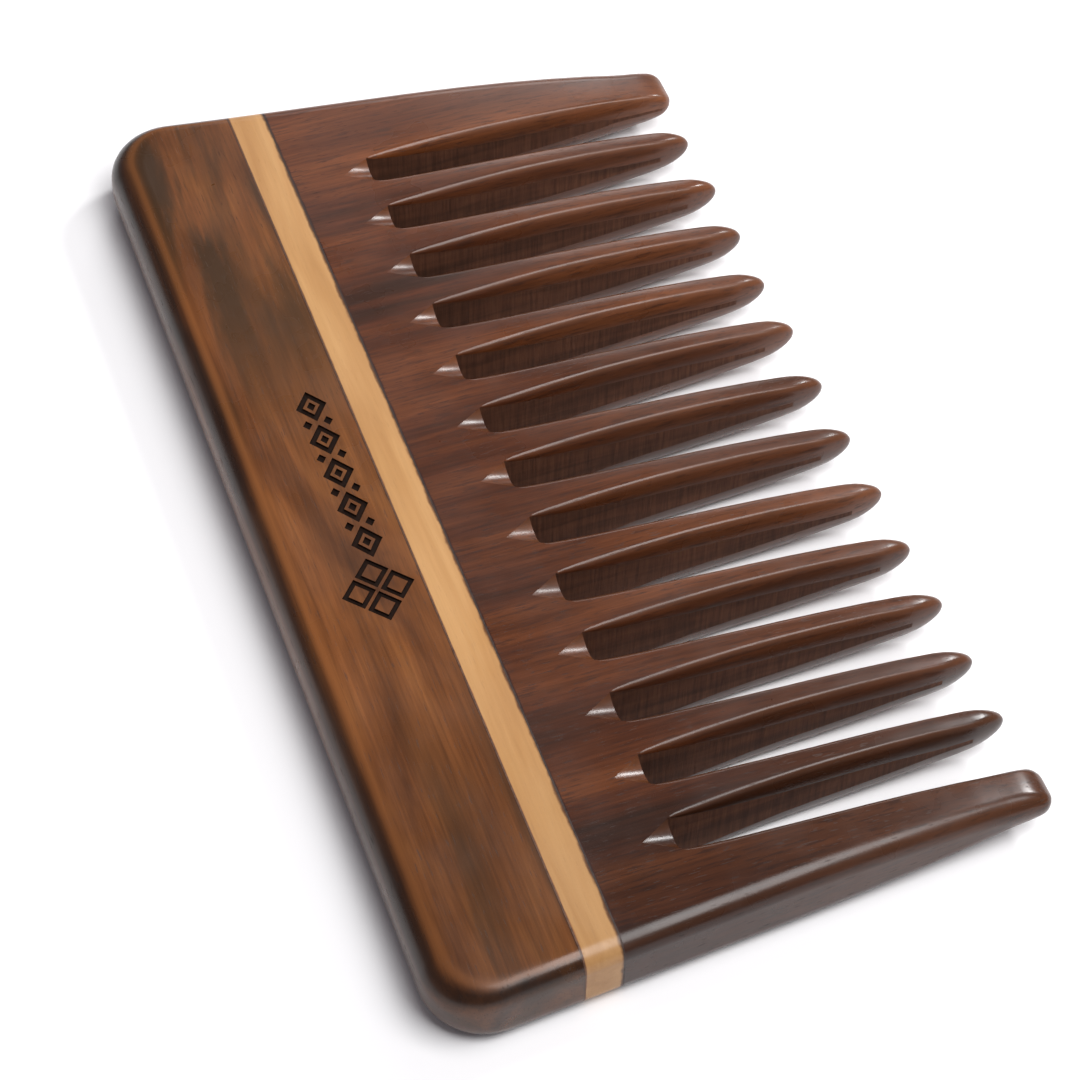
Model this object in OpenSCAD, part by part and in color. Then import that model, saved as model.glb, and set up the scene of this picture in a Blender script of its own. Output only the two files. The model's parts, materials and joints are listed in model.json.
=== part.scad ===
// Wide tooth hand comb laminated from three woods: a long-grain back, a pale
// inlaid strip and a tooth board whose grain runs along the teeth.
// The comb lies flat. X runs along the back, Y from the back to the tooth tips,
// Z up. The origin is under the middle of the comb, on the surface it lies on.

/* [Comb] */
// Longest length, over the rounded back corners
comb_length = 151.2; // [146:0.2:158]
// Width from the back to the tips of the guard teeth
comb_width = 81.5; // [78:0.5:86]
// Thickness of the laminated board
thickness = 10; // [9:0.5:12]
// Radius of the two back corners, seen from above
corner_radius = 7.5; // [4:0.5:9]
// Lean of the +X end towards the tips, in degrees
near_lean = 4.4; // [3:0.1:6]
// Lean of the -X end towards the tips, in degrees
far_lean = 7.5; // [5:0.1:8]
// Radius along the upper and lower edges of the back
back_edge_radius = 4.2; // [2:0.1:4.4]
// Radius along the upper and lower edges of the two ends
end_edge_radius = 2.6; // [1:0.1:4]

/* [Teeth] */
// Distance from one slot to the next
pitch = 9.8; // [9.2:0.1:10]
// Number of slots between the teeth
slot_count = 13; // [9:2:13]
// Width of a slot at its root
slot_width = 4.6; // [4.4:0.1:5]
// Length of the inner teeth, from the root line to the tip
tooth_length = 46.4; // [44:0.2:48]
// Radius of an inner tooth's tip, seen from above
tooth_tip_radius = 1.4; // [1.2:0.1:1.5]
// How far the guard teeth pass the inner teeth
guard_extra = 0.6; // [0:0.1:1.5]
// Corner radius of the blunt guard tips
guard_corner_radius = 1.6; // [1:0.1:2.2]
// How far a guard tooth's inner side leans away from its slot
guard_relief = 0.6; // [0:0.1:1.2]
// How far the hand-cut slots are off the middle, along the length
slot_shift = 2.4; // [0:0.1:2.6]
// Half thickness of a tooth at its tip
tip_half_thickness = 2; // [1.8:0.1:2.2]

/* [Lamination] */
// Width of the pale strip
strip_width = 4.8; // [3:0.1:6]
// Wood between the strip and the slot roots
root_margin = 11; // [10:0.1:12]
// Thickness of each glue line
glue_gap = 0.2; // [0.1:0.05:0.4]

/* [Dowel pins] */
// Number of hidden pins across the strip
dowel_count = 4; // [4:2:4]
// Diameter of a pin
dowel_diameter = 3; // [2:0.5:4]
// Depth of a pin in the back and in the tooth board
dowel_depth = 5.6; // [4:0.1:6]
// Radial clearance for the glue round a pin
dowel_clearance = 0.05; // [0.02:0.01:0.1]

/* [Hidden] */
$fn = 64;

// Lengths across the comb, from the back to the tips
back_y = -comb_width / 2;
guard_y = comb_width / 2;
tip_y = guard_y - guard_extra;
root_y = tip_y - tooth_length;
board_y = root_y - root_margin;
strip_front_y = board_y - glue_gap;
strip_back_y = strip_front_y - strip_width;
spine_y = strip_back_y - glue_gap;

// Plan of the leaning ends: side is 1 at +X and -1 at -X
corner_x = comb_length / 2 - corner_radius;
corner_y = back_y + corner_radius;
function lean(side) = side > 0 ? near_lean : far_lean;
function end_x(side, y) =
    corner_x + corner_radius / cos(lean(side)) - (y - corner_y) * tan(lean(side));

// Teeth and slots
tooth_root_width = pitch - slot_width;
slot_span = (slot_count - 1) * pitch;
last_slot_edge = (slot_span + slot_width) / 2;
sink = 1;

// Half the width of an inner tooth at distances from the root line
flare = [[-sink, tooth_root_width / 2], [0, tooth_root_width / 2], [10, 2.3], [22, 2], [38, 1.75]];

// Share of the full thickness that is left at distances from the root line
taper = [[12, 1], [20, 0.95], [30, 0.82], [39, 0.62]];

// Pins
dowel_length = 2 * (dowel_depth + glue_gap) + strip_width;
dowel_mid_y = (strip_back_y + strip_front_y) / 2;
dowel_spacing = 3 * pitch;
dowel_bevel = 0.4;
bore_end_gap = 0.4;

// Outline of the whole blank, seen from above
module outline() {
    for (side = [-1, 1])
        mirror([side < 0 ? 1 : 0, 0]) {
            polygon([
                [0, back_y],
                [corner_x, back_y],
                [
                    corner_x + corner_radius * cos(lean(side)),
                    corner_y + corner_radius * sin(lean(side))
                ],
                [end_x(side, guard_y), guard_y],
                [0, guard_y]
            ]);
            translate([corner_x, corner_y])
                circle(corner_radius);
        }
}

// Outline seen from the end: a rounded back, flat faces and tapered teeth
module side_outline() {
    tip_centre = guard_y - tip_half_thickness;
    half = thickness / 2;
    lower = [for (p = taper) [root_y + p[0], -p[1] * half]];
    upper = [for (i = [len(taper) - 1 : -1 : 0]) [root_y + taper[i][0], taper[i][1] * half]];
    translate([0, half]) {
        polygon(concat(
            [[back_y + back_edge_radius, -half]],
            lower,
            [[tip_centre, -tip_half_thickness], [tip_centre, tip_half_thickness]],
            upper,
            [[back_y + back_edge_radius, half]]
        ));
        translate([tip_centre, 0])
            circle(tip_half_thickness);
        for (side = [-1, 1])
            translate([back_y + back_edge_radius, side * (half - back_edge_radius)])
                circle(back_edge_radius);
        translate([back_y, -(half - back_edge_radius)])
            square([2 * back_edge_radius, thickness - 2 * back_edge_radius]);
    }
}

// Long bar with two rounded edges that trims one leaning end
module end_bar(side) {
    bar_length = 2 * comb_width;
    bar_width = 1.5 * comb_length;
    r = end_edge_radius;
    mirror([side < 0 ? 1 : 0, 0, 0])
        translate([end_x(side, 0), 0, 0])
            rotate([0, 0, lean(side)])
                rotate([90, 0, 0])
                    translate([0, 0, -bar_length / 2])
                        linear_extrude(bar_length)
                            union() {
                                translate([-bar_width, 0])
                                    square([bar_width - r, thickness]);
                                translate([-2 * r, r])
                                    square([2 * r, thickness - 2 * r]);
                                for (z = [r, thickness - r])
                                    translate([-r, z])
                                        circle(r);
                            }
}

// The whole comb blank, rounded all round, before it is cut into its pieces
module trim() {
    intersection() {
        rotate([90, 0, 90])
            translate([0, 0, -comb_length])
                linear_extrude(2 * comb_length)
                    side_outline();
        end_bar(1);
        end_bar(-1);
        children();
    }
}

// A slab of the blank between two lines across the comb
module slab(from_y, to_y) {
    trim()
        linear_extrude(thickness)
            intersection() {
                outline();
                translate([-comb_length, from_y])
                    square([2 * comb_length, to_y - from_y]);
            }
}

function dowel_x(i) = slot_shift + (i - (dowel_count + 1) / 2) * dowel_spacing;

// Holes for the pins, right through whatever they cross
module dowel_holes() {
    length = dowel_length + 2 * bore_end_gap;
    for (i = [1 : dowel_count])
        translate([dowel_x(i), dowel_mid_y + length / 2, thickness / 2])
            rotate([90, 0, 0])
                cylinder(h = length, r = dowel_diameter / 2 + dowel_clearance);
}

// Inner tooth from its root line, tip along +Y
module tooth_plan() {
    tip_centre = tooth_length - tooth_tip_radius;
    edge = concat(flare, [[tip_centre, tooth_tip_radius]]);
    polygon(concat(
        [for (p = edge) [p[1], p[0]]],
        [for (i = [len(edge) - 1 : -1 : 0]) [-edge[i][1], edge[i][0]]]
    ));
    translate([0, tip_centre])
        circle(tooth_tip_radius);
}

// Blunt guard tooth at one end, from the last slot to the leaning end
module guard_plan(side) {
    r = guard_corner_radius;
    a = lean(side);
    inner_root = side * slot_shift + last_slot_edge;
    inner_tip = inner_root + guard_relief;
    outer_x = end_x(side, guard_y - r) - r / cos(a);
    mirror([side < 0 ? 1 : 0, 0]) {
        polygon([
            [inner_root, root_y - sink],
            [end_x(side, root_y - sink), root_y - sink],
            [outer_x + r * cos(a), guard_y - r + r * sin(a)],
            [outer_x, guard_y],
            [inner_tip + r, guard_y],
            [inner_tip, guard_y - r],
            [inner_root, root_y]
        ]);
        for (x = [inner_tip + r, outer_x])
            translate([x, guard_y - r])
                circle(r);
    }
}

module spine() {
    color("#6b3f27")
        difference() {
            slab(back_y, spine_y);
            dowel_holes();
        }
}

module back_glue_line() {
    color("#2a1710")
        difference() {
            slab(spine_y, strip_back_y);
            dowel_holes();
        }
}

module light_strip() {
    color("#d7a566")
        difference() {
            slab(strip_back_y, strip_front_y);
            dowel_holes();
        }
}

module front_glue_line() {
    color("#2a1710")
        difference() {
            slab(strip_front_y, board_y);
            dowel_holes();
        }
}

module tooth_board() {
    color("#6e3d2c")
        difference() {
            trim()
                linear_extrude(thickness) {
                    intersection() {
                        outline();
                        translate([-comb_length, board_y])
                            square([2 * comb_length, root_y - board_y]);
                    }
                    for (i = [1 : slot_count - 1])
                        translate([slot_shift - slot_span / 2 + (i - 0.5) * pitch, root_y])
                            tooth_plan();
                    guard_plan(1);
                    guard_plan(-1);
                }
            dowel_holes();
        }
}

// Pin with bevelled ends, along Y
module dowel_pin(i) {
    r = dowel_diameter / 2;
    color("#c9a876")
        translate([dowel_x(i), dowel_mid_y + dowel_length / 2, thickness / 2])
            rotate([90, 0, 0])
                rotate_extrude()
                    polygon([
                        [0, 0],
                        [r - dowel_bevel, 0],
                        [r, dowel_bevel],
                        [r, dowel_length - dowel_bevel],
                        [r - dowel_bevel, dowel_length],
                        [0, dowel_length]
                    ]);
}

spine();
back_glue_line();
light_strip();
front_glue_line();
tooth_board();
dowel_pin(1);  // dowel_pin_1
dowel_pin(2);  // dowel_pin_2
dowel_pin(3);  // dowel_pin_3
dowel_pin(4);  // dowel_pin_4
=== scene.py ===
import json
import math

import bmesh
import bpy
from mathutils import Matrix, Quaternion, Vector


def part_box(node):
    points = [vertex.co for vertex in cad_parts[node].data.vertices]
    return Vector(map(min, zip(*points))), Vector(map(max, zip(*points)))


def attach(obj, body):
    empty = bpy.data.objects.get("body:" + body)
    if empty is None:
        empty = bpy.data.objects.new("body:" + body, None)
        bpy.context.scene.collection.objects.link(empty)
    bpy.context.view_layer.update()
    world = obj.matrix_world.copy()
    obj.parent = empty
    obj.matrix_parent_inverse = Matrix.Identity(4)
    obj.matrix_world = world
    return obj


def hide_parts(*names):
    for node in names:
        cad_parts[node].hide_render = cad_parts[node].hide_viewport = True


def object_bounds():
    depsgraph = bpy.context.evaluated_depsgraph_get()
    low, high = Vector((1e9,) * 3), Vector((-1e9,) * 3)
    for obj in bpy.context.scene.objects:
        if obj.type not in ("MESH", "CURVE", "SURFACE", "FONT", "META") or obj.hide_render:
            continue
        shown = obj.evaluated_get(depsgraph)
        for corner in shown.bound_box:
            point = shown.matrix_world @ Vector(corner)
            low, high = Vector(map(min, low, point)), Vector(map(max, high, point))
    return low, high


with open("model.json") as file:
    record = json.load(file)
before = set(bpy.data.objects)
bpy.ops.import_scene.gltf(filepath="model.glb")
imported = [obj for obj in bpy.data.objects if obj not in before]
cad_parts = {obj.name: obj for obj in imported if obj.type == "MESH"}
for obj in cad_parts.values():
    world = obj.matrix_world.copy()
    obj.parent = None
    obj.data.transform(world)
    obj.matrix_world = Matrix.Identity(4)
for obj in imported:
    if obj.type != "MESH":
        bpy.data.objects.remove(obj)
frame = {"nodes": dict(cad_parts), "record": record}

cad_low, cad_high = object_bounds()

# Every length is in metres. MM turns millimetres into them.
MM = 0.001

# Places that the frame gives
SPINE_LOW, SPINE_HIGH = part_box("spine")
STRIP_LOW, STRIP_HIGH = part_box("light_strip")
BOARD_LOW, BOARD_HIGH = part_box("tooth_board")
TOP = cad_high.z
MIDDLE = (cad_low.z + cad_high.z) / 2
HALF = (cad_high.z - cad_low.z) / 2
SLOTS = [opening["box_m"] for opening in frame["record"]["physics"]["openings"]]
SLOT_CENTRES = [(low[0] + high[0]) / 2 for low, high in SLOTS]
PITCH = SLOT_CENTRES[1] - SLOT_CENTRES[0]
TOOTH_CENTRES = [x + PITCH / 2 for x in SLOT_CENTRES[:-1]]

# The frame's openings lie inside the slots, this far from the walls and from the roots
SLOT_PLAY = 0.1 * MM
ROOT_PLAY = 0.15 * MM
SLOT_HALF = (SLOTS[0][1][0] - SLOTS[0][0][0]) / 2 + SLOT_PLAY
ROOT = SLOTS[0][0][1] - ROOT_PLAY

# The guard teeth pass the inner teeth by this much
GUARD_EXTRA = 0.6 * MM
GUARD_TIP = BOARD_HIGH.y
TIP = GUARD_TIP - GUARD_EXTRA

# Leaning ends and rounded edges
NEAR_LEAN = math.radians(4.4)
FAR_LEAN = math.radians(7.5)
END_RADIUS = 2.6 * MM
BACK_RADIUS = 4.2 * MM
CORNER_RADIUS = 7.6 * MM
CORNER_STEPS = 12
ARC_STEPS = 8
FACE_INSET = 0.4 * MM
SMOOTH_BELOW = math.radians(35)

# Two places nearer than this are the same place
CLOSE = 0.01 * MM

# Burnt border on the back: a row of lozenges along its line, and a diamond at its end
BURN_DEPTH = 0.35 * MM
BURN_START = -17 * MM
BURN_PITCH = 6 * MM
BURN_COUNT = 5
BURN_LINE = -27.2 * MM
BURN_REACH = 30 * MM
DOT_AWAY = 1.4 * MM
DIAMOND_X = 14.8 * MM
DIAMOND_Y = -28.2 * MM
DIAMOND_SPREAD_X = 2.75 * MM
DIAMOND_SPREAD_Y = 2.55 * MM

# Lozenges of the border: length, width, and the width of the line where it is a frame
ROW_FRAME = (5.4 * MM, 4.2 * MM, 0.75 * MM)
ROW_HEART = (1.6 * MM, 1.2 * MM)
ROW_DOT = (1.6 * MM, 1.3 * MM)
DIAMOND_FRAME = (4.9 * MM, 4.5 * MM, 0.65 * MM)

# Filed notch at a slot's root: length, reach past the root, radius, and how far its cone is lifted
NOTCH_RUN = 4.0 * MM
NOTCH_PAST = 0.2 * MM
NOTCH_RADIUS = 2.8 * MM
NOTCH_LIFT = 1.7 * MM


# ---------------------------------------------------------------- modelling

def clear_selection():
    """Leaves edit mode, with nothing selected."""
    if bpy.context.object and bpy.context.object.mode != "OBJECT":
        bpy.ops.object.mode_set(mode="OBJECT")
    bpy.ops.object.select_all(action="DESELECT")


def make_active(piece):
    """Makes the piece the active one and the only one selected."""
    clear_selection()
    piece.select_set(True)
    bpy.context.view_layer.objects.active = piece


def edit(piece):
    """Opens the piece in edit mode, with everything selected."""
    make_active(piece)
    bpy.ops.object.mode_set(mode="EDIT")
    bpy.ops.mesh.select_all(action="SELECT")


def set_place(piece):
    """Puts the piece's place, turn and scale into its mesh."""
    make_active(piece)
    bpy.ops.object.transform_apply(location=True, rotation=True, scale=True)


def add_block(name, low, high):
    """A block between two corners."""
    low, high = Vector(low), Vector(high)
    clear_selection()
    bpy.ops.mesh.primitive_cube_add(size=1, location=(low + high) / 2, scale=high - low)
    piece = bpy.context.object
    piece.name = name
    set_place(piece)
    return piece


def pick(piece, kind, wanted):
    """In edit mode, selects the verts, edges or faces whose middle passes the test."""
    bpy.ops.mesh.select_mode(type={"verts": "VERT", "edges": "EDGE", "faces": "FACE"}[kind])
    bpy.ops.mesh.select_all(action="DESELECT")
    mesh = bmesh.from_edit_mesh(piece.data)
    for item in getattr(mesh, kind):
        points = [item] if kind == "verts" else item.verts
        middle = sum((v.co for v in points), Vector()) / len(points)
        if wanted(middle, item):
            item.select_set(True)
    mesh.select_flush_mode()
    bmesh.update_edit_mesh(piece.data)


def end_x(side, y):
    """X of the leaning end at y: side is 1 at +X and -1 at -X."""
    if side > 0:
        return BOARD_HIGH.x - (y - BOARD_LOW.y) * math.tan(NEAR_LEAN)
    return BOARD_LOW.x + (y - BOARD_LOW.y) * math.tan(FAR_LEAN)


def lean_ends(piece, back_y, front_y):
    """Moves a piece's four corners, or corner columns, onto the leaning ends."""
    for side in (-1, 1):
        for y in (back_y, front_y):
            pick(piece, "verts", lambda m, v: m.x * side > 0 and abs(m.y - y) < CLOSE)
            mesh = bmesh.from_edit_mesh(piece.data)
            here = next(v.co.x for v in mesh.verts if v.select)
            bpy.ops.transform.translate(value=(end_x(side, y) - here, 0, 0))


def round_ends(piece):
    """Rounds the upper and lower edges of both leaning ends."""
    def along_an_end(m, e):
        run = e.verts[1].co - e.verts[0].co
        return abs(run.z) < CLOSE and abs(run.x) < abs(run.y) / 2
    pick(piece, "edges", along_an_end)
    bpy.ops.mesh.bevel(offset=END_RADIUS, segments=ARC_STEPS, profile=0.5, affect="EDGES")


def finish_mesh(piece):
    """Merges doubles, turns faces outwards and shades curves smooth and flats flat."""
    edit(piece)
    bpy.ops.mesh.remove_doubles(threshold=CLOSE / 10)
    bpy.ops.mesh.normals_make_consistent(inside=False)
    make_active(piece)
    bpy.ops.mesh.customdata_custom_splitnormals_clear()
    bpy.ops.object.shade_smooth_by_angle(angle=SMOOTH_BELOW)
    even = piece.modifiers.new("even", "WEIGHTED_NORMAL")
    even.keep_sharp = True
    bpy.ops.object.modifier_apply(modifier=even.name)


def cut(piece, cutter):
    """Takes the cutter's shape out of the piece."""
    make_active(piece)
    tool = piece.modifiers.new("cut", "BOOLEAN")
    tool.operation = "DIFFERENCE"
    tool.solver = "EXACT"
    tool.object = cutter
    bpy.ops.object.modifier_apply(modifier=tool.name)
    bpy.data.objects.remove(cutter)


def join(pieces):
    """Joins the pieces into the first one."""
    clear_selection()
    for piece in pieces:
        piece.select_set(True)
    bpy.context.view_layer.objects.active = pieces[0]
    bpy.ops.object.join()
    return pieces[0]


# ---------------------------------------------------------------- the back

def edge_drop(height, radius):
    """How far a rounded edge has drawn in at a height from the face."""
    if height >= radius:
        return 0
    return radius - math.sqrt(radius ** 2 - (radius - height) ** 2)


def make_spine_plan():
    """Plan of the back on the lower face, with leaning ends and two round corners."""
    clear_selection()
    middle_y = (SPINE_HIGH.y + SPINE_LOW.y) / 2
    bpy.ops.mesh.primitive_plane_add(size=1, location=(0, middle_y, 0))
    spine = bpy.context.object
    spine.name = "spine_wood"
    spine.scale = (SPINE_HIGH.x - SPINE_LOW.x, SPINE_HIGH.y - SPINE_LOW.y, 1)
    set_place(spine)
    edit(spine)
    lean_ends(spine, SPINE_LOW.y, SPINE_HIGH.y)
    corner_x = SPINE_HIGH.x - CORNER_RADIUS
    for side, lean in ((-1, FAR_LEAN), (1, NEAR_LEAN)):
        pick(spine, "verts", lambda m, v: m.y < SPINE_LOW.y + CLOSE and m.x * side > corner_x)
        reach = CORNER_RADIUS / math.tan((math.pi / 2 - lean) / 2)
        bpy.ops.mesh.bevel(offset=reach, segments=CORNER_STEPS, profile=0.5, affect="VERTICES")
    return spine


def make_spine():
    """Dark back: the plan raised level by level, drawn in along its rounded edges."""
    spine = make_spine_plan()
    front = SPINE_HIGH.y
    depth = front - SPINE_LOW.y
    turns = [math.pi / 2 * i / ARC_STEPS for i in range(ARC_STEPS + 1)]
    levels = [BACK_RADIUS * (1 - math.cos(turn)) for turn in turns]
    levels += [TOP - z for z in reversed(levels)]
    sizes = (1.0, 1.0)
    bpy.ops.mesh.select_all(action="SELECT")
    for number, z in enumerate(levels):
        if number:
            rise = z - levels[number - 1]
            bpy.ops.mesh.extrude_region_move(TRANSFORM_OT_translate={"value": (0, 0, rise)})
        off = min(z, TOP - z)
        new = (1 - edge_drop(off, END_RADIUS) / SPINE_HIGH.x, 1 - edge_drop(off, BACK_RADIUS) / depth)
        bpy.ops.transform.resize(
            value=(new[0] / sizes[0], new[1] / sizes[1], 1), center_override=(0, front, z))
        sizes = new
    for level in (0, TOP):
        pick(spine, "faces", lambda m, f: abs(m.z - level) < CLOSE and abs(f.normal.z) > 0.9)
        bpy.ops.mesh.inset(thickness=FACE_INSET)
    clear_selection()
    return spine


def add_lozenge(x, y, long, wide, line=0):
    """Upright lozenge tool for cutting into the top: a frame where a line width is given."""
    clear_selection()
    bpy.ops.mesh.primitive_circle_add(
        vertices=4, radius=1, fill_type="NGON", location=(x, y, TOP - BURN_DEPTH))
    tool = bpy.context.object
    tool.scale = (long / 2, wide / 2, 1)
    set_place(tool)
    edit(tool)
    if line:
        bpy.ops.mesh.inset(thickness=line)
        bpy.ops.mesh.delete(type="ONLY_FACE")
        bpy.ops.mesh.select_all(action="SELECT")
    bpy.ops.mesh.extrude_region_move(TRANSFORM_OT_translate={"value": (0, 0, 3 * BURN_DEPTH)})
    bpy.ops.mesh.select_all(action="SELECT")
    bpy.ops.mesh.normals_make_consistent(inside=False)
    clear_selection()
    return tool


def make_burnt_border():
    """Tools for a row of lozenges with dots between them, and for four lozenges in a diamond."""
    tools = []
    for step in range(BURN_COUNT):
        x = BURN_START + step * BURN_PITCH
        tools.append(add_lozenge(x, BURN_LINE, *ROW_FRAME))
        tools.append(add_lozenge(x, BURN_LINE, *ROW_HEART))
        if step < BURN_COUNT - 1:
            for side in (-1, 1):
                tools.append(add_lozenge(x + BURN_PITCH / 2, BURN_LINE + side * DOT_AWAY, *ROW_DOT))
    for east, north in ((1, 0), (-1, 0), (0, 1), (0, -1)):
        x = DIAMOND_X + east * DIAMOND_SPREAD_X
        y = DIAMOND_Y + north * DIAMOND_SPREAD_Y
        tools.append(add_lozenge(x, y, *DIAMOND_FRAME))
    return tools


def paint_burnt(spine, material):
    """Gives the cut floors and walls of the border a second material."""
    spine.data.materials.append(material)
    for face in spine.data.polygons:
        middle = face.center
        inside = SPINE_LOW.y + BACK_RADIUS < middle.y < SPINE_HIGH.y - CLOSE
        cut_in = TOP - 2 * BURN_DEPTH < middle.z < TOP - CLOSE
        if inside and cut_in and abs(middle.x) < BURN_REACH:
            face.material_index = 1


# ---------------------------------------------------------------- the strip

def make_strip():
    """Pale strip: a block with leaning, rounded ends."""
    strip = add_block("pale_strip", (STRIP_LOW.x, STRIP_LOW.y, 0), (STRIP_HIGH.x, STRIP_HIGH.y, TOP))
    edit(strip)
    lean_ends(strip, STRIP_LOW.y, STRIP_HIGH.y)
    round_ends(strip)
    clear_selection()
    return strip


# ---------------------------------------------------------------- the teeth

def height_between(points, at):
    """Height at a place on the line through the given points."""
    for (x0, y0), (x1, y1) in zip(points, points[1:]):
        if at <= x1:
            t = (at - x0) / (x1 - x0)
            return y0 + (y1 - y0) * t
    return points[-1][1]


def bullet(at, start, length, power):
    """Share of the width left on the way to a rounded tip; a power of 2 rounds it as an ellipse."""
    if at <= start:
        return 1
    t = min((at - start) / (length - start), 1)
    return (1 - t ** power) ** (1 / 2)


# A tooth in millimetres from its root: where its rings lie, half its width and thickness, the
# radius of its filed corners, and how many times deeper than wide they are filed
STEPS = [0.4, 1.2, 3, 6, 9, 12, 15, 18, 21, 24, 27, 30, 33, 36, 38, 40,
         41.5, 42.8, 43.8, 44.6, 45.2, 45.7, 46.05, 46.3]
GUARD_STEPS = STEPS[1:] + [46.6, 46.85, 46.97]
HALF_WIDTHS = [(0, 2.6), (6, 2.5), (12, 2.33), (20, 2.1), (30, 1.95), (40, 1.85), (47, 1.75)]
HALF_THICKNESS = [(0, 5), (10, 5), (14, 4.95), (18, 4.84), (24, 4.56), (30, 4.15), (36, 3.55),
                  (41, 2.85), (47, 2.1)]
CORNERS = [(0, 0.3), (0.4, 0.3), (1.2, 0.55), (4, 0.9), (8, 1.05), (20, 1.2), (47, 1.15)]
FILED_DEPTH = [(0, 1), (1.2, 1), (6, 1.5), (15, 2.3), (40, 2.5), (47, 2)]

# Lengths before a tip, in millimetres, over which the teeth's thickness, an inner tooth's width
# and a guard tooth's width round off, and the power of the rounding
THIN_END = 4.5
NARROW_END = 6.5
BLUNT_END = 1.9
THIN_POWER = 2.4
WIDTH_POWER = 2.2

# How far a guard tooth leans away from its slot, and how far its last ring stops short of closing,
# in millimetres
GUARD_RELIEF = 0.6
GUARD_SHORT = 0.02

# The most of a half width or thickness that a filed corner takes
INNER_SHARE = 0.85
GUARD_SHARE = 0.9
CORNER_FACETS = 4


def thickness_at(s, length):
    """Half the thickness of a tooth of a length, s millimetres from its root."""
    return height_between(HALF_THICKNESS, s) * bullet(s, length - THIN_END, length, THIN_POWER) * MM


def carry_on(piece, ring, new):
    """Extrudes the end face to a new ring: y, its low and high sides, half its thickness, and for
    each side its corners' radius and how many times deeper than wide they are filed."""
    shift = new["low"] - ring["low"]
    bpy.ops.mesh.extrude_region_move(
        TRANSFORM_OT_translate={"value": (shift, new["y"] - ring["y"], 0)})
    wide = (new["high"] - new["low"]) / (ring["high"] - ring["low"])
    tall = new["half"] / ring["half"]
    bpy.ops.transform.resize(value=(wide, 1, tall), center_override=(new["low"], new["y"], MIDDLE))
    for side in ("low", "high"):
        old_radius, radius = ring["radius_" + side], new["radius_" + side]
        old_depth, depth = old_radius * ring["depth_" + side], radius * new["depth_" + side]
        for up in (-1, 1):
            corner = Vector((new[side], new["y"], MIDDLE + up * new["half"]))
            reach_x = old_radius * wide + CLOSE / 2
            reach_z = old_depth * tall + CLOSE / 2
            pick(piece, "verts", lambda m, v: abs(m.y - corner.y) < CLOSE / 2
                 and abs(m.x - corner.x) < reach_x and abs(m.z - corner.z) < reach_z)
            bpy.ops.transform.resize(
                value=(radius / old_radius / wide, 1, depth / old_depth / tall), center_override=corner)
    pick_end(piece, new)
    return new


def pick_end(piece, ring):
    """Selects the end face at a ring."""
    pick(piece, "faces", lambda m, f: abs(m.y - ring["y"]) < CLOSE / 2
         and ring["low"] < m.x < ring["high"] and len(f.verts) > 4)


def soften_corners(piece, ring):
    """Rounds the four corners of the end face."""
    pick(piece, "verts", lambda m, v: abs(m.y - ring["y"]) < CLOSE / 2)
    bpy.ops.mesh.bevel(offset=ring["radius_low"], segments=CORNER_FACETS, profile=0.5, affect="VERTICES")
    pick_end(piece, ring)


def make_inner_tooth():
    """One tapered tooth about X = 0, open at its root, with filed edges and a bullet tip."""
    length = (TIP - ROOT) / MM
    wide = height_between(HALF_WIDTHS, 0) * MM
    clear_selection()
    bpy.ops.mesh.primitive_plane_add(size=2, location=(0, ROOT, MIDDLE), rotation=(-math.pi / 2, 0, 0))
    tooth = bpy.context.object
    tooth.name = "inner_tooth"
    tooth.scale = (wide, HALF, 1)
    set_place(tooth)
    edit(tooth)
    first = STEPS[0] * MM
    bpy.ops.mesh.extrude_region_move(TRANSFORM_OT_translate={"value": (0, first, 0)})
    radius = height_between(CORNERS, STEPS[0]) * MM
    ring = dict(y=ROOT + first, low=-wide, high=wide, half=HALF,
                radius_low=radius, radius_high=radius, depth_low=1, depth_high=1)
    soften_corners(tooth, ring)
    for s in STEPS[1:]:
        narrowed = bullet(s, length - NARROW_END, length, WIDTH_POWER)
        wide = height_between(HALF_WIDTHS, s) * narrowed * MM
        half = thickness_at(s, length)
        radius = min(height_between(CORNERS, s) * MM, INNER_SHARE * wide, INNER_SHARE * half)
        depth = min(height_between(FILED_DEPTH, s), INNER_SHARE * half / radius)
        ring = carry_on(tooth, ring, dict(
            y=ROOT + s * MM, low=-wide, high=wide, half=half,
            radius_low=radius, radius_high=radius, depth_low=depth, depth_high=depth))
    bpy.ops.mesh.extrude_region_move(TRANSFORM_OT_translate={"value": (0, TIP - ring["y"], 0)})
    bpy.ops.mesh.merge(type="COLLAPSE")
    pick(tooth, "faces", lambda m, f: abs(m.y - ROOT) < CLOSE)
    bpy.ops.mesh.delete(type="FACE")
    clear_selection()
    return tooth


# How far each hand-cut tooth's tip strays sideways and lengthwise, in millimetres
TIP_STRAY = [0.0, 0.2, 0.0, -0.1, -0.6, 0.1, 0.2, 0.4, 0.4, 0.2, -0.1, -0.5]
LENGTH_STRAY = [-0.2, 0.1, 0.0, -0.3, 0.15, 0.0, -0.1, 0.1, -0.15, 0.1, 0.0, -0.1]


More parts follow.
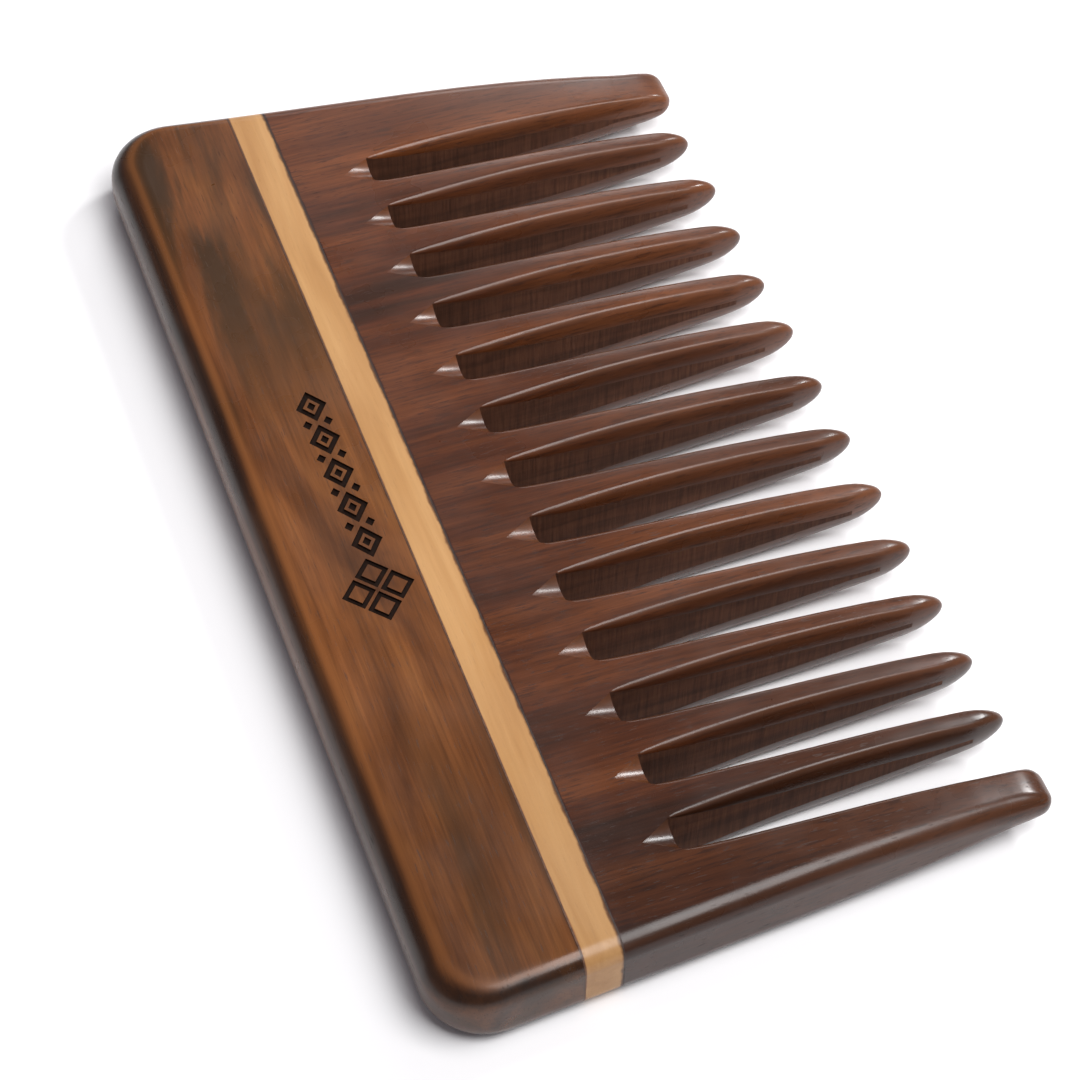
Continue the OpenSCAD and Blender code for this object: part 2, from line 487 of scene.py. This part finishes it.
def make_teeth():
    """The twelve inner teeth, copied from one, each straying a little as if cut by hand."""
    pattern = make_inner_tooth()
    length = TIP - ROOT
    teeth = []
    for number, x in enumerate(TOOTH_CENTRES):
        tooth = pattern.copy()
        tooth.data = pattern.data.copy()
        tooth.name = "tooth_%d" % (number + 1)
        bpy.context.collection.objects.link(tooth)
        tooth.location.x = x
        set_place(tooth)
        edit(tooth)
        pick(tooth, "verts", lambda m, v: m.y > ROOT + CLOSE)
        bpy.ops.transform.resize(
            value=(1, 1 + LENGTH_STRAY[number] * MM / length, 1), center_override=(x, ROOT, MIDDLE))
        bpy.ops.transform.rotate(
            value=TIP_STRAY[number] * MM / length, orient_axis="Z", center_override=(x, ROOT, MIDDLE))
        teeth.append(tooth)
    clear_selection()
    bpy.data.objects.remove(pattern)
    return teeth


def make_board_body():
    """The board behind the slots, with its 27 root faces, and both guard teeth."""
    board = add_block("tooth_board_wood", (BOARD_LOW.x, BOARD_LOW.y, 0), (BOARD_HIGH.x, ROOT, TOP))
    edit(board)
    lean_ends(board, BOARD_LOW.y, ROOT)
    round_ends(board)
    for x in SLOT_CENTRES:
        for side in (-1, 1):
            bpy.ops.mesh.select_all(action="SELECT")
            bpy.ops.mesh.bisect(plane_co=(x + side * SLOT_HALF, 0, 0), plane_no=(1, 0, 0))
    pick(board, "faces", lambda m, f: abs(m.y - ROOT) < CLOSE
         and any(abs(m.x - x) < CLOSE for x in TOOTH_CENTRES))
    bpy.ops.mesh.delete(type="ONLY_FACE")
    for side in (-1, 1):
        add_guard(board, side)
    clear_selection()
    return board


def guard_ring(side, inner, s):
    """Size of a guard tooth at s millimetres from its root, from its inner side's place there."""
    length = (GUARD_TIP - ROOT) / MM
    draw = BLUNT_END * (1 - bullet(s, length - BLUNT_END, length, WIDTH_POWER))
    y = ROOT + s * MM
    half = thickness_at(s, length + GUARD_SHORT)
    room = GUARD_SHARE * half
    inner_radius = min(height_between(CORNERS, s) * MM, room)
    inner_name, outer_name = ("high", "low") if side < 0 else ("low", "high")
    return {
        "y": y,
        "half": half,
        inner_name: inner + side * (GUARD_RELIEF * s / length + draw) * MM,
        outer_name: end_x(side, y) - side * draw * MM,
        "radius_" + inner_name: inner_radius,
        "radius_" + outer_name: min(END_RADIUS, room),
        "depth_" + inner_name: min(height_between(FILED_DEPTH, s), room / inner_radius),
        "depth_" + outer_name: 1,
    }


def add_guard(board, side):
    """Blunt guard tooth, extruded from the end of the root wall."""
    inner = SLOT_CENTRES[0] - SLOT_HALF if side < 0 else SLOT_CENTRES[-1] + SLOT_HALF
    inner_name, outer_name = ("high", "low") if side < 0 else ("low", "high")
    y = ROOT + STEPS[0] * MM
    outer = end_x(side, y)
    radius = height_between(CORNERS, STEPS[0]) * MM
    pick(board, "faces", lambda m, f: abs(m.y - ROOT) < CLOSE and (m.x - inner) * side > 0)
    bpy.ops.mesh.extrude_region_move(TRANSFORM_OT_translate={"value": (0, 0, 0)})
    bpy.ops.transform.translate(value=(0, y - ROOT, 0))
    pick(board, "verts", lambda m, v: abs(m.y - y) < CLOSE and abs(m.x - inner) > CLOSE
         and (m.x - inner) * side > 0)
    bpy.ops.transform.translate(value=(outer - end_x(side, ROOT), 0, 0))
    pick(board, "verts", lambda m, v: abs(m.y - y) < CLOSE and abs(m.x - inner) < CLOSE)
    bpy.ops.mesh.bevel(offset=radius, segments=CORNER_FACETS, profile=0.5, affect="VERTICES")
    ring = guard_ring(side, inner, 0)
    ring.update({"y": y, "half": HALF, outer_name: outer, "radius_" + inner_name: radius})
    pick_end(board, ring)
    for s in GUARD_STEPS:
        ring = carry_on(board, ring, guard_ring(side, inner, s))


def make_notches():
    """Filed notch at every slot's root, on both faces: cones sunk a little way into the wood."""
    depth = NOTCH_RUN + NOTCH_PAST
    grow = depth / NOTCH_RUN
    cones = []
    for x in SLOT_CENTRES:
        for z, up in ((0, -1), (TOP, 1)):
            clear_selection()
            bpy.ops.mesh.primitive_cone_add(
                vertices=48, radius1=NOTCH_RADIUS * grow, radius2=0, depth=depth,
                location=(x, ROOT + NOTCH_PAST - depth / 2, z), rotation=(math.pi / 2, 0, 0))
            cone = bpy.context.object
            set_place(cone)
            edit(cone)
            pick(cone, "verts", lambda m, v: m.y > ROOT)
            bpy.ops.transform.translate(value=(0, 0, up * NOTCH_LIFT * grow))
            clear_selection()
            cones.append(cone)
    return join(cones)


def make_tooth_board():
    """The board with all its teeth, and the notches cut into it."""
    board = join([make_board_body()] + make_teeth())
    finish_mesh(board)
    cut(board, make_notches())
    finish_mesh(board)
    return board


# ---------------------------------------------------------------- camera, light and floor

FLOOR_SIZE = 3
FLOOR_GAP = 0.02 * MM

# The camera's sensor and lens, which Blender takes in millimetres
SENSOR_WIDTH = 36
LENS = 106.67

# The camera and the point it looks at, from the middle of the slots' roots on the upper face
CAMERA_PLACE = Vector((249.16, -91.17, 319.8)) * MM
CAMERA_AIM = Vector((11.57, 0, 0)) * MM
CAMERA_ROLL = math.radians(1.6)


def make_camera():
    """Camera above the near end, looking down along the comb."""
    data = bpy.data.cameras.new("camera")
    data.sensor_width = SENSOR_WIDTH
    data.lens = LENS
    data.clip_start = 0.01
    camera = bpy.data.objects.new("camera", data)
    bpy.context.collection.objects.link(camera)
    middle_of_roots = Vector(((SLOT_CENTRES[0] + SLOT_CENTRES[-1]) / 2, ROOT, TOP))
    look = (CAMERA_AIM - CAMERA_PLACE).to_track_quat("-Z", "Y")
    turn = look @ Quaternion((0, 0, 1), CAMERA_ROLL)
    camera.matrix_world = Matrix.Translation(middle_of_roots + CAMERA_PLACE) @ turn.to_matrix().to_4x4()
    bpy.context.scene.camera = camera


def add_area_light(name, place, size, power):
    """Square light at a place, turned to the middle of the comb."""
    data = bpy.data.lights.new(name, "AREA")
    data.shape = "SQUARE"
    data.size = size
    data.energy = power
    light = bpy.data.objects.new(name, data)
    bpy.context.collection.objects.link(light)
    light.location = place
    light.rotation_euler = (-Vector(place)).to_track_quat("-Z", "Y").to_euler()


def make_floor():
    """Plain pale floor just under the comb."""
    clear_selection()
    bpy.ops.mesh.primitive_plane_add(size=FLOOR_SIZE, location=(0, 0, -FLOOR_GAP))
    floor = bpy.context.object
    floor.name = "floor"
    floor.data.materials.append(floor_white())


def make_studio():
    """Pale surroundings, a softbox overhead, and small lights past the -X end and past the tips."""
    world = bpy.data.worlds.new("studio")
    bpy.context.scene.world = world
    world.use_nodes = True
    background = world.node_tree.nodes["Background"]
    background.inputs["Color"].default_value = (1.0, 0.91, 0.98, 1)
    background.inputs["Strength"].default_value = 0.2
    add_area_light("softbox", (0.2, 0.17, 0.62), 0.45, 4.9)
    add_area_light("far_side", (-0.7, 0.3, 0.4), 0.3, 1.2)
    add_area_light("glint", (-0.26, 0.6, 0.53), 0.13, 3.1)
    make_floor()
    bpy.context.scene.view_settings.view_transform = "Standard"


# ---------------------------------------------------------------- materials

def node(tree, kind, inputs=None, **settings):
    """A shader node: each input is another node's output or a value."""
    made = tree.nodes.new("ShaderNode" + kind)
    for key, value in settings.items():
        setattr(made, key, value)
    for key, value in (inputs or {}).items():
        if isinstance(value, bpy.types.NodeSocket):
            tree.links.new(value, made.inputs[key])
        else:
            made.inputs[key].default_value = value
    return made


def new_material(name, colour):
    """A material with its node tree and its shader."""
    material = bpy.data.materials.new(name)
    material.use_nodes = True
    material.diffuse_color = (*colour, 1)
    return material, material.node_tree, material.node_tree.nodes["Principled BSDF"]


def floor_white():
    """Plain pale paint of the floor."""
    material, _, shader = new_material("floor_white", (0.9, 0.9, 0.9))
    shader.inputs["Base Color"].default_value = (0.92, 0.92, 0.93, 1)
    shader.inputs["Roughness"].default_value = 0.9
    return material


def ramp(tree, amount, stops):
    """Colours along a ramp: stops are (position, colour)."""
    made = node(tree, "ValToRGB", {"Fac": amount})
    elements = made.color_ramp.elements
    while len(elements) < len(stops):
        elements.new(0.5)
    for element, (position, colour) in zip(elements, stops):
        element.position = position
        element.color = (*colour, 1)
    return made.outputs["Color"]


def mix(tree, amount, first, second, blend="MIX"):
    """Two colours mixed by an amount, or multiplied."""
    made = node(tree, "Mix", {0: amount, 6: first, 7: second}, data_type="RGBA", blend_type=blend)
    return made.outputs[2]


def span(tree, value, low, high, to_low=0.0, to_high=1.0):
    """Smooth step from one range to another."""
    ranges = {"Value": value, "From Min": low, "From Max": high, "To Min": to_low, "To Max": to_high}
    return node(tree, "MapRange", ranges, interpolation_type="SMOOTHSTEP").outputs["Result"]


def maths(tree, operation, first, second=0.0):
    """One arithmetic step on one or two values."""
    return node(tree, "Math", {0: first, 1: second}, operation=operation).outputs[0]


def streaks(tree, per_mm, detail=3.0, bend=0.0, rough=0.55, shift=(0, 0, 0)):
    """Noise drawn out by a different number of cycles per millimetre along each axis."""
    coordinates = node(tree, "TexCoord").outputs["Object"]
    scale = tuple(cycles / MM for cycles in per_mm)
    mapped = node(tree, "Mapping", {"Vector": coordinates, "Scale": scale, "Location": shift})
    made = node(tree, "TexNoise", {"Vector": mapped.outputs["Vector"], "Scale": 1.0, "Detail": detail,
                                   "Roughness": rough, "Distortion": bend})
    return made.outputs["Fac"]


def along(grain, slow, fast):
    """Cycles per millimetre along and across the grain, in X, Y, Z order."""
    return (slow, fast, fast) if grain == "X" else (fast, slow, fast)


def facing(tree, axis):
    """How squarely the surface faces along an axis, 0 to 1."""
    normal = node(tree, "TexCoord").outputs["Normal"]
    parts = node(tree, "SeparateXYZ", {"Vector": normal})
    return maths(tree, "ABSOLUTE", parts.outputs[axis])


def near_line(tree, y, reach):
    """1 beside the line across the comb at y, fading to 0 at about reach, with a ragged edge."""
    coordinates = node(tree, "TexCoord").outputs["Object"]
    parts = node(tree, "SeparateXYZ", {"Vector": coordinates})
    away = maths(tree, "ABSOLUTE", maths(tree, "SUBTRACT", parts.outputs["Y"], y))
    ragged = maths(tree, "MULTIPLY", streaks(tree, (0.35, 0.6, 0.6), 4.0), reach)
    return span(tree, maths(tree, "ADD", away, ragged), reach * 0.5, reach, 1.0, 0.0)


def wood(name, grain, figure, figure_size, bend, fine, pore_size, pore_depth, rough, shift=(0, 0, 0)):
    """Oiled wood: slow figure along the grain, fine streaks and short open pores."""
    material, tree, shader = new_material(name, figure[1][1])
    colour = ramp(tree, streaks(tree, figure_size, 4.0, bend, 0.55, shift), figure)
    fine_noise = streaks(tree, along(grain, 0.05, 1.6), 5.0, 0.4, 0.7)
    fine_colour = ramp(tree, fine_noise, [(0.3, (1 - fine,) * 3), (0.7, (1 + fine,) * 3)])
    colour = mix(tree, 1.0, colour, fine_colour, "MULTIPLY")
    pores = span(tree, streaks(tree, along(grain, pore_size[0], pore_size[1]), 2.0, 0.0, 0.5), 0.63, 0.7)
    dark_pore = tuple(c * 0.45 for c in figure[1][1])
    colour = mix(tree, maths(tree, "MULTIPLY", pores, pore_depth), colour, (*dark_pore, 1))
    gloss = streaks(tree, (0.08, 0.08, 0.08), 3.0)
    gloss = maths(tree, "ADD", span(tree, gloss, 0.3, 0.7, rough - 0.06, rough + 0.08),
                  maths(tree, "MULTIPLY", pores, 0.2))
    height = maths(tree, "SUBTRACT", maths(tree, "MULTIPLY", fine_noise, 0.35),
                   maths(tree, "MULTIPLY", pores, 0.3))
    return material, tree, shader, colour, gloss, height


def finish_wood(tree, shader, colour, gloss, height, bump=0.2, coat=0.1):
    """Joins a wood's colour, gloss and raised grain to its shader, under a thin coat of oil."""
    tree.links.new(colour, shader.inputs["Base Color"])
    tree.links.new(gloss, shader.inputs["Roughness"])
    raised = node(tree, "Bump", {"Height": height, "Strength": bump, "Distance": 0.06 * MM})
    tree.links.new(raised.outputs["Normal"], shader.inputs["Normal"])
    shader.inputs["IOR"].default_value = 1.39
    shader.inputs["Coat Weight"].default_value = coat
    shader.inputs["Coat Roughness"].default_value = 0.16


def place_along(tree, axis):
    """Place along one axis of the object."""
    coordinates = node(tree, "TexCoord").outputs["Object"]
    return node(tree, "SeparateXYZ", {"Vector": coordinates}).outputs[axis]


def shade(tree, colour, amount):
    """Colour made lighter or darker by an amount."""
    return mix(tree, 1.0, colour, amount, "MULTIPLY")


def back_wood():
    """Dark wood with its grain along the comb and smoky streaks, a painted amber highlight where its
    rounded edges start, and painted shade on the rounding below.
    """
    figure = [(0.3, (0.06, 0.02, 0.006)), (0.43, (0.108, 0.035, 0.0095)),
              (0.55, (0.16, 0.054, 0.0145)), (0.72, (0.215, 0.08, 0.022))]
    material, tree, shader, colour, gloss, height = wood(
        "back_wood", "X", figure, (0.02, 0.085, 0.085), 0.9, 0.3, (0.4, 3.5), 0.5, 0.3, (3.1, 0.4, 0))
    smoke = streaks(tree, (0.012, 0.12, 0.08), 5.0, 1.1, 0.55, (0.35, 0.1, 0))
    along_x = place_along(tree, "X")
    smoky = maths(tree, "MAXIMUM", span(tree, along_x, -40 * MM, -8 * MM, 0.95, 0.15),
                  span(tree, along_x, 30 * MM, 60 * MM, 0.15, 0.6))
    smoke = maths(tree, "MULTIPLY", span(tree, smoke, 0.44, 0.62), smoky)
    colour = mix(tree, smoke, colour, (0.046, 0.022, 0.0085, 1))
    up = facing(tree, "Z")
    # Painted highlight: amber where the rounded edges start to turn down from the top
    painted_rim_light = maths(tree, "MULTIPLY", span(tree, up, 0.86, 0.95), span(tree, up, 0.965, 0.999, 1.0, 0.0))
    colour = mix(tree, maths(tree, "MULTIPLY", painted_rim_light, 0.6), colour, (0.24, 0.085, 0.024, 1))
    # Painted shade: the rounding and walls darkened, most where they turn about halfway down from the top
    painted_shade_band = maths(tree, "MULTIPLY", span(tree, up, 0.15, 0.5, 0.3, 1.0),
                 span(tree, up, 0.78, 0.96, 0.7, 0.0))
    colour = shade(tree, colour, maths(tree, "SUBTRACT", 1.0, painted_shade_band))
    ends = maths(tree, "MULTIPLY", span(tree, along_x, -65 * MM, -30 * MM, 0.82, 1.0),
                 span(tree, along_x, 15 * MM, 65 * MM, 1.05, 0.68))
    colour = shade(tree, colour, ends)
    scorch = maths(tree, "MULTIPLY", near_line(tree, BURN_LINE, 5 * MM),
                   span(tree, maths(tree, "ABSOLUTE", along_x), 14 * MM, 22 * MM, 0.35, 0.0))
    colour = mix(tree, scorch, colour, (0.035, 0.014, 0.007, 1))
    colour = mix(tree, near_line(tree, SPINE_HIGH.y, 0.35 * MM), colour, (0.04, 0.016, 0.008, 1))
    finish_wood(tree, shader, colour, gloss, height)
    return material


def burnt_wood():
    """Charred floor and walls of the burnt border."""
    material, tree, shader = new_material("burnt_wood", (0.015, 0.008, 0.005))
    grains = streaks(tree, (1.5, 2.5, 2.5), 4.0, 0.3, 0.65)
    colour = ramp(tree, grains, [(0.3, (0.005, 0.003, 0.002)), (0.7, (0.018, 0.008, 0.005))])
    tree.links.new(colour, shader.inputs["Base Color"])
    shader.inputs["IOR"].default_value = 1.2
    tree.links.new(span(tree, grains, 0.3, 0.7, 0.75, 0.95), shader.inputs["Roughness"])
    raised = node(tree, "Bump", {"Height": grains, "Strength": 0.5, "Distance": 0.1 * MM})
    tree.links.new(raised.outputs["Normal"], shader.inputs["Normal"])
    return material


def strip_wood():
    """Pale wood, fine and even, with faint streaks along the strip."""
    figure = [(0.3, (0.4, 0.2, 0.0704)), (0.5, (0.456, 0.24, 0.0896)), (0.7, (0.512, 0.284, 0.114))]
    material, tree, shader, colour, gloss, height = wood(
        "strip_wood", "X", figure, (0.03, 0.3, 0.3), 0.5, 0.05, (0.5, 4.0), 0.12, 0.38)
    edges = ((STRIP_LOW.y, 0.3 * MM, (0.3, 0.13, 0.05, 1)), (STRIP_HIGH.y, 0.8 * MM, (0.1, 0.04, 0.016, 1)))
    for y, reach, stain in edges:
        colour = mix(tree, near_line(tree, y, reach), colour, stain)
    colour = shade(tree, colour, span(tree, place_along(tree, "X"), 20 * MM, 75 * MM, 1.0, 0.8))
    finish_wood(tree, shader, colour, gloss, height, 0.12)
    return material


def board_wood():
    """Reddish brown wood with its grain along the teeth and dark bands, darker towards +X, with painted
    light on its rounded edges and a painted grey sheen along the teeth.
    """
    figure = [(0.32, (0.03, 0.0105, 0.0045)), (0.44, (0.068, 0.019, 0.007)),
              (0.56, (0.104, 0.03, 0.0095)), (0.7, (0.15, 0.045, 0.014))]
    material, tree, shader, colour, gloss, height = wood(
        "board_wood", "Y", figure, (0.13, 0.011, 0.08), 0.5, 0.36, (0.45, 4.0), 0.7, 0.3)
    # Painted sheen: the teeth mixed towards a greyer brown further along them
    painted_sheen_on_teeth = span(tree, place_along(tree, "Y"), -4 * MM, 16 * MM, 0.0, 0.3)
    colour = mix(tree, painted_sheen_on_teeth, colour, (0.095, 0.042, 0.024, 1))
    dashes = streaks(tree, (2.6, 0.22, 2.6), 3.0, 0.2, 0.6, (5.1, 0, 0))
    dashes = maths(tree, "MULTIPLY", span(tree, dashes, 0.53, 0.66), 0.65)
    colour = mix(tree, dashes, colour, (0.04, 0.015, 0.009, 1))
    up = facing(tree, "Z")
    # Painted light: the rounded edges of the board and teeth made lighter and more orange
    painted_rim_light = maths(tree, "MULTIPLY", span(tree, up, 0.35, 0.75), span(tree, up, 0.85, 0.99, 1.0, 0.0))
    colour = mix(tree, maths(tree, "MULTIPLY", painted_rim_light, 0.35), colour, (0.16, 0.062, 0.026, 1))
    along_x = place_along(tree, "X")
    tone = maths(tree, "MULTIPLY", span(tree, along_x, -70 * MM, 60 * MM, 1.1, 0.8),
                 span(tree, along_x, 50 * MM, 66 * MM, 1.0, 0.56))
    colour = shade(tree, colour, tone)
    colour = shade(tree, colour, span(tree, place_along(tree, "Y"), 0.0, 20 * MM, 1.0, 1.1))
    colour = mix(tree, near_line(tree, BOARD_LOW.y, 0.5 * MM), colour, (0.03, 0.01, 0.007, 1))
    filed = maths(tree, "MULTIPLY", streaks(tree, (0.25, 0.6, 0.25), 2.0),
                  span(tree, up, 0.95, 0.995, 1.6, 0.0))
    finish_wood(tree, shader, colour, gloss, maths(tree, "ADD", height, filed))
    return material


def sawn_wood():
    """Dull walls of the slots, with the saw's marks standing across the teeth."""
    material, tree, shader = new_material("sawn_wood", (0.08, 0.032, 0.016))
    marks = streaks(tree, (0.3, 2.4, 0.12), 4.0, 0.3, 0.65)
    bands = streaks(tree, (0.2, 0.05, 0.5), 3.0, 0.5)
    colour = ramp(tree, marks, [(0.3, (0.06, 0.022, 0.011)), (0.7, (0.125, 0.05, 0.026))])
    mottle = ramp(tree, bands, [(0.35, (0.7, 0.68, 0.65)), (0.65, (1.2, 1.15, 1.1))])
    colour = shade(tree, colour, mottle)
    tree.links.new(colour, shader.inputs["Base Color"])
    shader.inputs["Roughness"].default_value = 0.72
    shader.inputs["IOR"].default_value = 1.3
    raised = node(tree, "Bump", {"Height": marks, "Strength": 0.5, "Distance": 0.08 * MM})
    tree.links.new(raised.outputs["Normal"], shader.inputs["Normal"])
    return material


def hard_glue(name, dark, light):
    """Hardened glue between the woods, with a grainy surface."""
    material, tree, shader = new_material(name, dark)
    grains = streaks(tree, (1.2, 1.2, 1.2), 4.0)
    colour = ramp(tree, grains, [(0.3, dark), (0.7, light)])
    tree.links.new(colour, shader.inputs["Base Color"])
    tree.links.new(span(tree, grains, 0.3, 0.7, 0.4, 0.65), shader.inputs["Roughness"])
    return material


def pin_wood():
    """Plain pale wood of the hidden pins, grain along them."""
    figure = [(0.3, (0.5, 0.31, 0.14)), (0.5, (0.58, 0.38, 0.18)), (0.7, (0.64, 0.44, 0.23))]
    material, tree, shader, colour, gloss, height = wood(
        "pin_wood", "Y", figure, (0.5, 0.05, 0.5), 0.2, 0.08, (0.5, 4.0), 0.15, 0.55)
    finish_wood(tree, shader, colour, gloss, height, 0.15, 0.0)
    return material


# ---------------------------------------------------------------- the comb

# A face of a tooth that looks this squarely sideways is a sawn wall
WALL_SQUARENESS = 0.998


def place_piece(piece, node_name, material):
    """Gives a piece its material, and its place in the frame's table."""
    piece.data.materials.clear()
    piece.data.materials.append(material)
    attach(piece, "root")
    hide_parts(node_name)


def paint_slot_walls(board, material):
    """Gives the flat walls and roots of the slots a second material."""
    board.data.materials.append(material)
    for face in board.data.polygons:
        middle, normal = face.center, face.normal
        between = SLOT_CENTRES[0] - PITCH / 2 < middle.x < SLOT_CENTRES[-1] + PITCH / 2
        wall = abs(normal.x) > WALL_SQUARENESS or abs(middle.y - ROOT) < CLOSE
        if between and wall and middle.y > ROOT - CLOSE:
            face.material_index = 1


def build_spine():
    """The back, with the burnt border cut into it."""
    spine = make_spine()
    finish_mesh(spine)
    for lozenge in make_burnt_border():
        cut(spine, lozenge)
    finish_mesh(spine)
    place_piece(spine, "spine", back_wood())
    paint_burnt(spine, burnt_wood())


def build_strip():
    """The pale strip between the back and the tooth board."""
    strip = make_strip()
    finish_mesh(strip)
    place_piece(strip, "light_strip", strip_wood())


def build_tooth_board():
    """The tooth board, with dull walls in its slots."""
    board = make_tooth_board()
    place_piece(board, "tooth_board", board_wood())
    paint_slot_walls(board, sawn_wood())


def paint_cad_nodes():
    """Materials for the glue lines and the hidden pins, which keep their own meshes."""
    finishes = {
        "front_glue_line": hard_glue("dark_glue", (0.012, 0.006, 0.004), (0.04, 0.018, 0.01)),
        "back_glue_line": hard_glue("brown_glue", (0.05, 0.02, 0.009), (0.12, 0.05, 0.02)),
    }
    pins = pin_wood()
    for name, cad_node in frame["nodes"].items():
        if name in finishes:
            cad_node.material_slots[0].material = finishes[name]
        elif "dowel_pin" in name:
            cad_node.material_slots[0].material = pins


make_camera()
make_studio()
build_spine()
build_strip()
build_tooth_board()
paint_cad_nodes()
